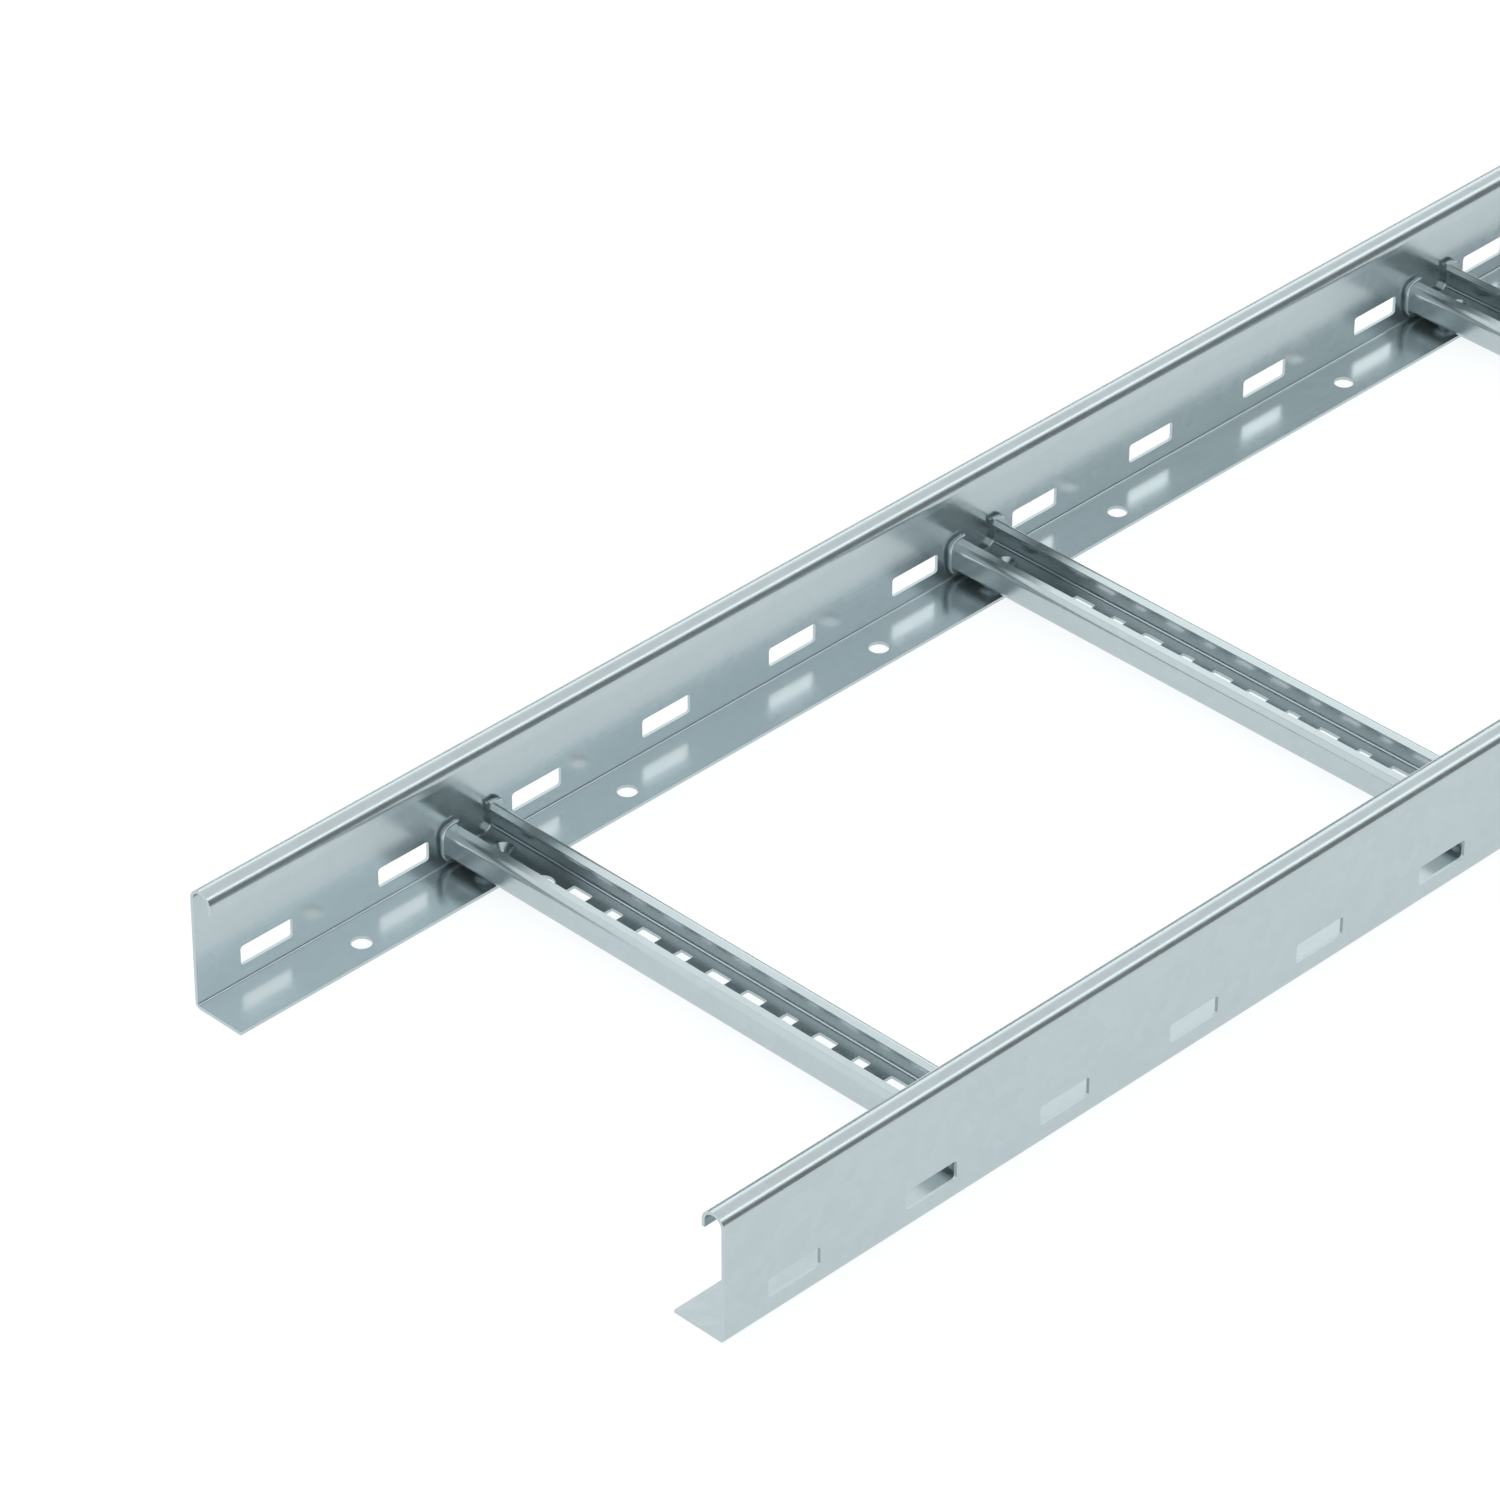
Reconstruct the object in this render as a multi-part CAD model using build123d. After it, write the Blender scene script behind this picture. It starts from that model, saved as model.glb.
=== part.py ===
"""Cable ladder: two perforated side rails joined by slotted rungs, in one length of stock.

X runs along the ladder, Y across it and Z up. The origin is on the floor, under the middle.
"""
from build123d import *
from math import radians, tan
import os

# The ladder as a whole
ladder_length = 3000.0
ladder_width = 300.0               # over the outer faces of the two side rails
rung_pitch = 300.0

# Side rail: one sheet with a flange at the foot and a rolled hook along the top
rail_sheet = 1.5
rail_height = 60.0
flange_width = 27.0                # from the outer face of the web
rail_bend_radius = 2.5             # outside of the bend at the foot
hook_radius = 6.0                  # outside of the half-round at the top
hook_leg = 3.3                     # straight run down from the half-round

# Slots in the web, for connectors and fixings
slots_per_bay = 4
slot_length = 28.0
slot_height = 9.3
slot_corner_radius = 1.5
slot_centre_height = 13.55

# Holes in the flange, for bolting down
flange_holes_per_bay = 2
flange_hole_diameter = 9.0
flange_hole_inset = 16.5           # from the outer face of the web

# Rung: one sheet bent to a C that opens upward
rung_sheet = 1.5
rung_width = 30.0
rung_height = 14.0
rung_mouth = 17.0                  # between the two lips
rung_bend_radius = 3.0             # outside of its bends
rung_clearance = 3.9               # between the flange and the underside of the rung

# Swaged collar at each end of a rung: a bead on a neck that stands on the web
neck_length = 1.3                  # along the rung
neck_proud = 1.8                   # outside of the C
neck_lower_corner = 6.0
bead_length = 1.3
bead_proud = 3.1
bead_lower_corner = 8.5
bead_edge_radius = 0.9
collar_side = 3.8                  # proud of the inside of the C, at its sides
collar_foot = 2.3                  # proud of its floor
collar_inner_corner = 4.5

# Slots along the floor of a rung, wide and narrow in turn
rung_slot_pitch = 20.0
rung_slot_reach = 16.0             # across the rung
wide_slot = 11.0                   # along the rung
narrow_slot = 7.0
rung_slot_corner_radius = 0.8
round_hole_diameter = 10.5
round_hole_spacing = 27.5          # from the line of the flange holes
round_hole_margin = 15.0           # from the round hole to the last slot

# Hole with a drawn, tapering rim near each end of a rung, over the flange
rim_hole_reach = 20.0              # across the rung
rim_hole_width = 9.9               # along the rung
rim_hole_inset = 15.6              # from the outer face of the web
rim_wall = 1.0
rim_depth = 3.4                    # below the floor of the rung
rim_taper = 35.0                   # degrees from upright

# Places worked out from the sizes above
bay_count = int(ladder_length / rung_pitch)
web_inner_y = ladder_width / 2 - rail_sheet
flange_hole_y = ladder_width / 2 - flange_hole_inset
rim_hole_y = ladder_width / 2 - rim_hole_inset
rung_underside = rail_sheet + rung_clearance
rung_floor = rung_underside + rung_sheet
round_hole_y = flange_hole_y - round_hole_spacing


def centred_row(count, pitch):
    """Places of a row of things, centred on zero."""
    return [(index - (count - 1) / 2) * pitch for index in range(count)]


def bent_sheet(skin, thickness):
    """Section of a sheet whose outer skin is given; the sheet lies to the right of it."""
    return make_face(offset(skin, amount=thickness, side=Side.RIGHT).edges())


def rail_section():
    """Section of a side rail: x inward from the outer face of the web, y up."""
    hook_start = rail_height - hook_radius
    hook_end = 2 * hook_radius
    foot = FilletPolyline((flange_width, 0), (0, 0), (0, hook_start), radius=rail_bend_radius)
    hook = ThreePointArc((0, hook_start), (hook_radius, rail_height), (hook_end, hook_start))
    leg = Line((hook_end, hook_start), (hook_end, hook_start - hook_leg))
    return bent_sheet(foot + hook + leg, rail_sheet)


def side_rail():
    """The rail on the -Y side."""
    outer_face = Location((0, -ladder_width / 2, 0))
    rail = outer_face * extrude(Plane.YZ * rail_section(), amount=ladder_length / 2, both=True)

    slot = extrude(
        Plane.XZ * RectangleRounded(slot_length, slot_height, slot_corner_radius),
        amount=2 * rail_sheet,
        both=True,
    )
    slot_row = centred_row(bay_count * slots_per_bay, rung_pitch / slots_per_bay)
    slots = [Pos(x, -ladder_width / 2, slot_centre_height) * slot for x in slot_row]

    hole = Cylinder(flange_hole_diameter / 2, 4 * rail_sheet)
    hole_row = centred_row(bay_count * flange_holes_per_bay, rung_pitch / flange_holes_per_bay)
    holes = [Pos(x, -flange_hole_y, 0) * hole for x in hole_row]
    return rail - slots - holes


def rung_section():
    """Section of a rung: x across it, y up."""
    side = rung_width / 2
    lip = rung_mouth / 2
    top = rung_underside + rung_height
    skin = FilletPolyline(
        (lip, top),
        (side, top),
        (side, rung_underside),
        (-side, rung_underside),
        (-side, top),
        (-lip, top),
        radius=rung_bend_radius,
    )
    return bent_sheet(skin, rung_sheet)


def rounded_corners(outline, upper, lower):
    """A rectangle with one radius on its upper corners and another on its lower ones."""
    outline = fillet(outline.vertices().group_by(Axis.Y)[0], radius=lower)
    return fillet(outline.vertices().group_by(Axis.Y)[-1], radius=upper)


def collar_ring(proud, lower_corner, length):
    """A C-shaped ring round the section of a rung, from the origin towards -Y."""
    outer = rounded_corners(
        Rectangle(rung_width + 2 * proud, rung_height + 2 * proud),
        rung_bend_radius + proud,
        lower_corner,
    )
    half_width = rung_width / 2 - rung_sheet - collar_side
    top = rung_height / 2 - rung_sheet
    foot = -top + collar_foot
    pocket = make_face(
        FilletPolyline(
            (-half_width, top),
            (-half_width, foot),
            (half_width, foot),
            (half_width, top),
            radius=collar_inner_corner,
        )
        + Line((half_width, top), (-half_width, top))
    )
    mouth = Pos(0, rung_height / 2) * Rectangle(rung_mouth, rung_height)
    return extrude(Plane.XZ * (outer - pocket - mouth), amount=length)


def collar():
    """The swaged collar against the web on the +Y side."""
    neck = collar_ring(neck_proud, neck_lower_corner, neck_length)
    bead = collar_ring(bead_proud, bead_lower_corner, bead_length)
    exposed_face = bead.faces().sort_by(Axis.Y)[0]
    bead = fillet(exposed_face.edges(), bead_edge_radius)
    seat = Pos(0, web_inner_y, rung_underside + rung_height / 2)
    return seat * (neck + Pos(0, -neck_length, 0) * bead)


def tapering_slot(margin, start):
    """A slot from a depth below the floor to the foot of the rim, wider by a margin all round."""
    growth = 2 * (margin - start * tan(radians(rim_taper)))
    outline = SlotOverall(rim_hole_reach + growth, rim_hole_width + growth)
    downward = Plane((0, 0, -start), x_dir=(1, 0, 0), z_dir=(0, 0, -1))
    return extrude(downward * outline, amount=rim_depth - start, taper=rim_taper)


def rung_floor_cuts():
    """Everything that is cut through the floor of a rung."""
    depth = 4 * rung_sheet
    cuts = []
    slot_pairs = int((round_hole_y - round_hole_margin) / rung_slot_pitch + 0.5)
    for pair in range(slot_pairs):
        width = narrow_slot if pair % 2 else wide_slot
        outline = RectangleRounded(rung_slot_reach, width, rung_slot_corner_radius)
        slot = extrude(outline, amount=depth, both=True)
        y = (pair + 0.5) * rung_slot_pitch
        cuts += [Pos(0, side * y, rung_floor) * slot for side in (-1, 1)]
    for side in (-1, 1):
        cuts.append(Pos(0, side * round_hole_y, rung_floor) * Cylinder(round_hole_diameter / 2, depth))
        cuts.append(Pos(0, side * rim_hole_y, rung_floor) * tapering_slot(0, 0))
    return cuts


def drawn_rims():
    """The rims drawn down around the holes near the ends of a rung."""
    rim = tapering_slot(rim_wall, rung_sheet / 2)
    return [Pos(0, side * rim_hole_y, rung_floor) * rim for side in (-1, 1)]


def rung():
    """One rung, across the middle of the ladder."""
    profile = extrude(Plane.XZ * rung_section(), amount=web_inner_y, both=True)
    end = collar()
    body = profile + [end, mirror(end, about=Plane.XZ)] + drawn_rims()
    return body - rung_floor_cuts()


def save(shape, name):
    """Write one piece, which has to be a single solid."""
    solids = shape.solids()
    assert len(solids) == 1, f"{name} is {len(solids)} solids"
    export_step(solids[0], f"parts/{name}.step")


os.makedirs("parts", exist_ok=True)

right_rail = side_rail()
save(right_rail, "side_rail_right")
save(mirror(right_rail, about=Plane.XZ), "side_rail_left")

one_rung = rung()
for number, x in enumerate(centred_row(bay_count, rung_pitch), start=1):
    save(Pos(x, 0, 0) * one_rung, f"rung_{number:02d}")
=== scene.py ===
"""Looks of a galvanised cable ladder: sheet finish, soft studio light, floor and camera."""
import math

import bpy
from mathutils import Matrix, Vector


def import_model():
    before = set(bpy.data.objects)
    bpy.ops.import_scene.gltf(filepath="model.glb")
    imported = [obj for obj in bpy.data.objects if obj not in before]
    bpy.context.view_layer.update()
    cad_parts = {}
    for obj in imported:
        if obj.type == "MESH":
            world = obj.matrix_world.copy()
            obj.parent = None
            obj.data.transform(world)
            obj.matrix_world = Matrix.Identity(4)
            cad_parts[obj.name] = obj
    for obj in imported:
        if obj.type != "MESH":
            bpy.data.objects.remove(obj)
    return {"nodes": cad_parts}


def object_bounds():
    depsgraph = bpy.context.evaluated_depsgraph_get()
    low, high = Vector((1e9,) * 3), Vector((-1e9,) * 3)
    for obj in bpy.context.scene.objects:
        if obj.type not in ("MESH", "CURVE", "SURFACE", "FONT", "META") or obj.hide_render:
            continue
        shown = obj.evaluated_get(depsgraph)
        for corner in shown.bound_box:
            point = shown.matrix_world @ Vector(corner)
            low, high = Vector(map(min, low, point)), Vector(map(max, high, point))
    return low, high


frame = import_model()
cad_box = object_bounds()

# Camera: the place and lens that the photograph was taken with
CAMERA_PLACE = (-3.0715, -1.73512, 1.836304)
CAMERA_YAW = 45.0                  # degrees from +Y towards +X
CAMERA_PITCH = 34.991              # degrees below the horizon
CAMERA_LENS = 183.258              # mm
SENSOR_WIDTH = 36.0                # mm
NEAR_CLIP = 0.05

# Galvanised sheet: zinc, and the lighter, rougher metal where the sheet is cut
ZINC_COLOUR = (0.480, 0.545, 0.565)
CUT_COLOUR = (0.499, 0.567, 0.588)
METAL_SHARE = 0.88
RAIL_ROUGHNESS = 0.20
RUNG_ROUGHNESS = 0.22
CUT_ROUGHNESS = 0.38

# Its pattern: sizes in metres, then how far each part changes the tone and the roughness
SPANGLE_SIZE = 0.006
MOTTLE_SIZE = 0.035
GRAIN_SIZE = 0.0006
GRAIN_STRETCH = 0.02               # size across the grain as a share of its length
GRAIN_ALONG_RAIL = 0               # the axis that the grain runs along: X
GRAIN_ALONG_RUNG = 1               # and Y
SPANGLE_TONE = 0.018
MOTTLE_TONE = 0.008
GRAIN_TONE = 0.010
SPANGLE_GLOSS = 0.020
MOTTLE_GLOSS = 0.008
GRAIN_GLOSS = 0.020

# Its noise, and the range that the values of each pattern fall in
MOTTLE_NOISE = {"Detail": 3.0, "Roughness": 0.55}
GRAIN_NOISE = {"Detail": 2.0, "Roughness": 0.6}
NOISE_RANGE = (0.3, 0.7)
SPANGLE_RANGE = (0.0, 1.0)

# Its bump
BUMP_STRENGTH = 0.5
RELIEF = 0.000012                  # depth in metres
SPANGLE_RELIEF = 0.15              # of the spangle, as a share of the grain's

# Where the sheared edges lie, in metres from the middle of the ladder and up from the floor
WEB_ZONE = (0.0060, 0.0530)        # slots in a rail's web, and the edge of its hook
FLANGE_TOP = 0.0014
WEB_INSIDE = 0.1470
RUNG_FLOOR_ZONE = (0.0054, 0.00675)
RUNG_LIP_EDGE = 0.01805
FACING = 0.7                       # least share of a normal that points along an axis
SQUARELY = 0.95
UPRIGHT = 0.3                      # most that an upright face's normal points up or down

# Floor: part of its white is paper that takes the shadow, the rest is glow
FLOOR_PAPER = 0.22
FLOOR_GLOW = 0.86
FLOOR_TINT = (0.977, 0.9945, 1.0)
FLOOR_GAP = 0.0002
FLOOR_REACH = 100.0

# Studio: white all round, with dark cards and soft lamps far away; angles are in degrees
BACKDROP_LEVEL = 1.0               # as the camera and the metal see it
WORLD_LEVEL = 0.91                 # of the light that it throws on all else
WORLD_TINT = (0.953, 0.9945, 0.996)
LAMP_TINT = (0.905, 0.990, 0.993)
STUDIO_REACH = 40.0
CARD_STEPS = 24

WHITE = (1.0, 1.0, 1.0, 1.0)
MIX_SOCKETS = {"FLOAT": (2, 3, 0), "RGBA": (6, 7, 2)}      # a Mix node's two values and its result


def camera():
    """The camera at the photograph's viewing angle."""
    data = bpy.data.cameras.new("camera")
    data.sensor_width = SENSOR_WIDTH
    data.lens = CAMERA_LENS
    data.clip_start = NEAR_CLIP
    data.clip_end = 2 * FLOOR_REACH
    made = bpy.data.objects.new("camera", data)
    made.location = CAMERA_PLACE
    made.rotation_euler = (math.radians(90.0 - CAMERA_PITCH), 0.0, -math.radians(CAMERA_YAW))
    bpy.context.scene.collection.objects.link(made)
    bpy.context.scene.camera = made


def node_maker(tree):
    """A function that adds a node to the tree, sets its values and links its inputs."""

    def add(kind, values=None, links=None, **settings):
        node = tree.nodes.new(kind)
        for name, value in settings.items():
            setattr(node, name, value)
        for name, value in (values or {}).items():
            node.inputs[name].default_value = value
        for name, source in (links or {}).items():
            tree.links.new(source, node.inputs[name])
        return node

    return add


def empty_material(name):
    """A material with no nodes, and the function that adds nodes to it."""
    material = bpy.data.materials.new(name)
    material.use_nodes = True
    material.node_tree.nodes.clear()
    return material, node_maker(material.node_tree)


def math_maker(add):
    """A function that adds a Math node on links or plain numbers and gives its result."""

    def work(operation, *terms):
        numbers = {place: term for place, term in enumerate(terms) if isinstance(term, float)}
        links = {place: term for place, term in enumerate(terms) if not isinstance(term, float)}
        return add("ShaderNodeMath", numbers, links, operation=operation).outputs[0]

    return work


def mixed(add, kind, mask, off, on):
    """The linked value where the mask is 0, and the fixed one where it is 1."""
    first, second, result = MIX_SOCKETS[kind]
    return add("ShaderNodeMix", {second: on}, {0: mask, first: off}, data_type=kind).outputs[result]


def between(work, value, zone):
    """Mask of the values inside a zone."""
    low, high = zone
    return work("MULTIPLY", work("GREATER_THAN", value, low), work("LESS_THAN", value, high))


def rail_cuts(work, place, facing):
    """Mask of a rail's sheared edges: slots, ends, the hook's edge and the flange's holes and edge."""
    ends = work("GREATER_THAN", facing["x"], FACING)
    level = work("GREATER_THAN", facing["z"], FACING)
    web = work("MULTIPLY", level, between(work, place["z"], WEB_ZONE))
    inside = work("LESS_THAN", place["y"], WEB_INSIDE)
    low = work("MULTIPLY", inside, work("LESS_THAN", place["z"], FLANGE_TOP))
    flange = work("MULTIPLY", low, work("LESS_THAN", facing["z"], UPRIGHT))
    return work("MAXIMUM", ends, work("MAXIMUM", web, flange))


def rung_cuts(work, place, facing):
    """Mask of a rung's sheared edges: the two lips and the holes in its floor."""
    inside = work("LESS_THAN", place["y"], WEB_INSIDE)
    low = work("MULTIPLY", inside, between(work, place["z"], RUNG_FLOOR_ZONE))
    holes = work("MULTIPLY", low, work("LESS_THAN", facing["z"], UPRIGHT))
    across = work("GREATER_THAN", facing["x"], SQUARELY)
    lips = work("MULTIPLY", across, work("GREATER_THAN", place["z"], RUNG_LIP_EDGE))
    return work("MAXIMUM", holes, lips)


def galvanised(name, grain_axis, cuts, sheet_roughness):
    """Smooth galvanised sheet with faint spangle, mottling, rolling grain and lighter cut edges."""
    material, add = empty_material(name)
    work = math_maker(add)
    geometry = add("ShaderNodeNewGeometry")
    position = geometry.outputs["Position"]

    def sizes(vector):
        parts = add("ShaderNodeSeparateXYZ", links={"Vector": vector}).outputs
        return {axis: work("ABSOLUTE", parts[axis.upper()]) for axis in "xyz"}

    def spread(source, swing, found_range):
        least, most = found_range
        ends = {"From Min": least, "From Max": most, "To Min": -swing, "To Max": swing}
        return add("ShaderNodeMapRange", ends, {"Value": source}).outputs["Result"]

    def total(start, spangle_swing, mottle_swing, grain_swing):
        spangled = work("ADD", start, spread(spangle, spangle_swing, SPANGLE_RANGE))
        mottled = work("ADD", spangled, spread(mottle, mottle_swing, NOISE_RANGE))
        return work("ADD", mottled, spread(grain, grain_swing, NOISE_RANGE))

    cells = add("ShaderNodeTexVoronoi", {"Scale": 1 / SPANGLE_SIZE}, {"Vector": position})
    spangle = add("ShaderNodeSeparateColor", links={"Color": cells.outputs["Color"]}).outputs["Red"]
    soft = {"Scale": 1 / MOTTLE_SIZE, **MOTTLE_NOISE}
    mottle = add("ShaderNodeTexNoise", soft, {"Vector": position}).outputs["Fac"]
    squeeze = [1.0, 1.0, 1.0]
    squeeze[grain_axis] = GRAIN_STRETCH
    stretched = add("ShaderNodeMapping", {"Scale": squeeze}, {"Vector": position}).outputs[0]
    fine = {"Scale": 1 / GRAIN_SIZE, **GRAIN_NOISE}
    grain = add("ShaderNodeTexNoise", fine, {"Vector": stretched}).outputs["Fac"]
    cut = cuts(work, sizes(position), sizes(geometry.outputs["True Normal"]))

    tone = total(1.0, SPANGLE_TONE, MOTTLE_TONE, GRAIN_TONE)
    zinc = add("ShaderNodeVectorMath", {0: ZINC_COLOUR}, {"Scale": tone}, operation="SCALE").outputs[0]
    gloss = total(sheet_roughness, SPANGLE_GLOSS, MOTTLE_GLOSS, GRAIN_GLOSS)
    height = work("ADD", grain, work("MULTIPLY", spangle, SPANGLE_RELIEF))
    depth = {"Strength": BUMP_STRENGTH, "Distance": RELIEF}
    shader = add("ShaderNodeBsdfPrincipled", {"Metallic": METAL_SHARE}, {
        "Base Color": mixed(add, "RGBA", cut, zinc, (*CUT_COLOUR, 1.0)),
        "Roughness": mixed(add, "FLOAT", cut, gloss, CUT_ROUGHNESS),
        "Normal": add("ShaderNodeBump", depth, {"Height": height}).outputs[0],
    })
    add("ShaderNodeOutputMaterial", links={"Surface": shader.outputs[0]})
    return material


def stage_mesh(name, points, faces, material):
    """A mesh that isn't part of the object."""
    mesh = bpy.data.meshes.new(name)
    mesh.from_pydata(points, [], faces)
    mesh.materials.append(material)
    made = bpy.data.objects.new(name, mesh)
    bpy.context.scene.collection.objects.link(made)
    return made


def floor():
    """A white floor that keeps a faint shadow."""
    material, add = empty_material("floor_paper")
    paper = add("ShaderNodeBsdfDiffuse", {"Color": (FLOOR_PAPER, FLOOR_PAPER, FLOOR_PAPER, 1.0)})
    glow = add("ShaderNodeEmission", {"Color": (*FLOOR_TINT, 1.0), "Strength": FLOOR_GLOW})
    both = add("ShaderNodeAddShader", links={0: paper.outputs[0], 1: glow.outputs[0]})
    add("ShaderNodeOutputMaterial", links={"Surface": both.outputs[0]})
    z = cad_box[0].z - FLOOR_GAP
    corners = [(x * FLOOR_REACH, y * FLOOR_REACH, z) for x, y in ((-1, -1), (1, -1), (1, 1), (-1, 1))]
    stage_mesh("floor", corners, [(0, 1, 2, 3)], material)


def direction(azimuth, elevation):
    """Unit vector; azimuth from +X towards +Y, elevation above the horizon."""
    a, e = math.radians(azimuth), math.radians(elevation)
    return Vector((math.cos(a) * math.cos(e), math.sin(a) * math.cos(e), math.sin(e)))


def reach(angle):
    """Height at the studio's reach that is seen from the middle at this angle."""
    return STUDIO_REACH * math.tan(math.radians(angle))


def soft_light(name, azimuth, elevation, wide, high, level):
    """A large far lamp, given by the angles it fills and how bright it looks beside white paper."""
    data = bpy.data.lights.new(name, "AREA")
    data.shape = "RECTANGLE"
    data.size = 2 * reach(wide / 2)
    data.size_y = 2 * reach(high / 2)
    data.energy = level * math.pi * data.size * data.size_y
    data.color = LAMP_TINT
    made = bpy.data.objects.new(name, data)
    towards = direction(azimuth, elevation)
    made.location = towards * STUDIO_REACH
    made.rotation_euler = towards.to_track_quat("Z", "Y").to_euler()
    made.visible_camera = False
    bpy.context.scene.collection.objects.link(made)


def dark_card(name, azimuth, wide, foot, top, level):
    """A curved dark card between two elevations, seen only in the metal."""
    material, add = empty_material(name)
    shade = add("ShaderNodeEmission", {"Strength": level})
    add("ShaderNodeOutputMaterial", links={"Surface": shade.outputs[0]})
    points = []
    for step in range(CARD_STEPS + 1):
        place = direction(azimuth + wide * (step / CARD_STEPS - 0.5), 0.0) * STUDIO_REACH
        points += [(place.x, place.y, reach(foot)), (place.x, place.y, reach(top))]
    faces = [(2 * i, 2 * i + 2, 2 * i + 3, 2 * i + 1) for i in range(CARD_STEPS)]
    card = stage_mesh(name, points, faces, material)
    card.visible_camera = False
    card.visible_diffuse = False


def world():
    """An even surround, plain white to the camera and in the metal."""
    made = bpy.data.worlds.new("studio")
    made.use_nodes = True
    made.node_tree.nodes.clear()
    add = node_maker(made.node_tree)
    work = math_maker(add)
    light = add("ShaderNodeBackground", {"Color": (*WORLD_TINT, 1.0), "Strength": WORLD_LEVEL})
    backdrop = add("ShaderNodeBackground", {"Color": WHITE, "Strength": BACKDROP_LEVEL})
    rays = add("ShaderNodeLightPath").outputs
    mirrored = work("MAXIMUM", rays["Is Glossy Ray"], rays["Is Transmission Ray"])
    seen = work("MAXIMUM", rays["Is Camera Ray"], mirrored)
    both = add("ShaderNodeMixShader", links={0: seen, 1: light.outputs[0], 2: backdrop.outputs[0]})
    add("ShaderNodeOutputWorld", links={"Surface": both.outputs[0]})
    bpy.context.scene.world = made


camera()
bpy.context.scene.view_settings.view_transform = "Standard"
world()
floor()
dark_card("dark_card_right", azimuth=-60.0, wide=90.0, foot=0.0, top=28.5, level=0.19)
dark_card("dark_card_far", azimuth=45.0, wide=60.0, foot=3.5, top=11.5, level=0.14)
soft_light("strip_right", azimuth=-42.0, elevation=40.3, wide=60.0, high=8.4, level=1.23)
soft_light("far_window", azimuth=45.0, elevation=25.6, wide=50.0, high=24.2, level=0.61)
soft_light("left_window", azimuth=127.0, elevation=38.0, wide=96.0, high=72.0, level=0.17)

rail_sheet = galvanised("galvanised_rail", GRAIN_ALONG_RAIL, rail_cuts, RAIL_ROUGHNESS)
rung_sheet = galvanised("galvanised_rung", GRAIN_ALONG_RUNG, rung_cuts, RUNG_ROUGHNESS)
for name, node in frame["nodes"].items():
    node.data.materials.clear()
    node.data.materials.append(rung_sheet if name.startswith("rung") else rail_sheet)
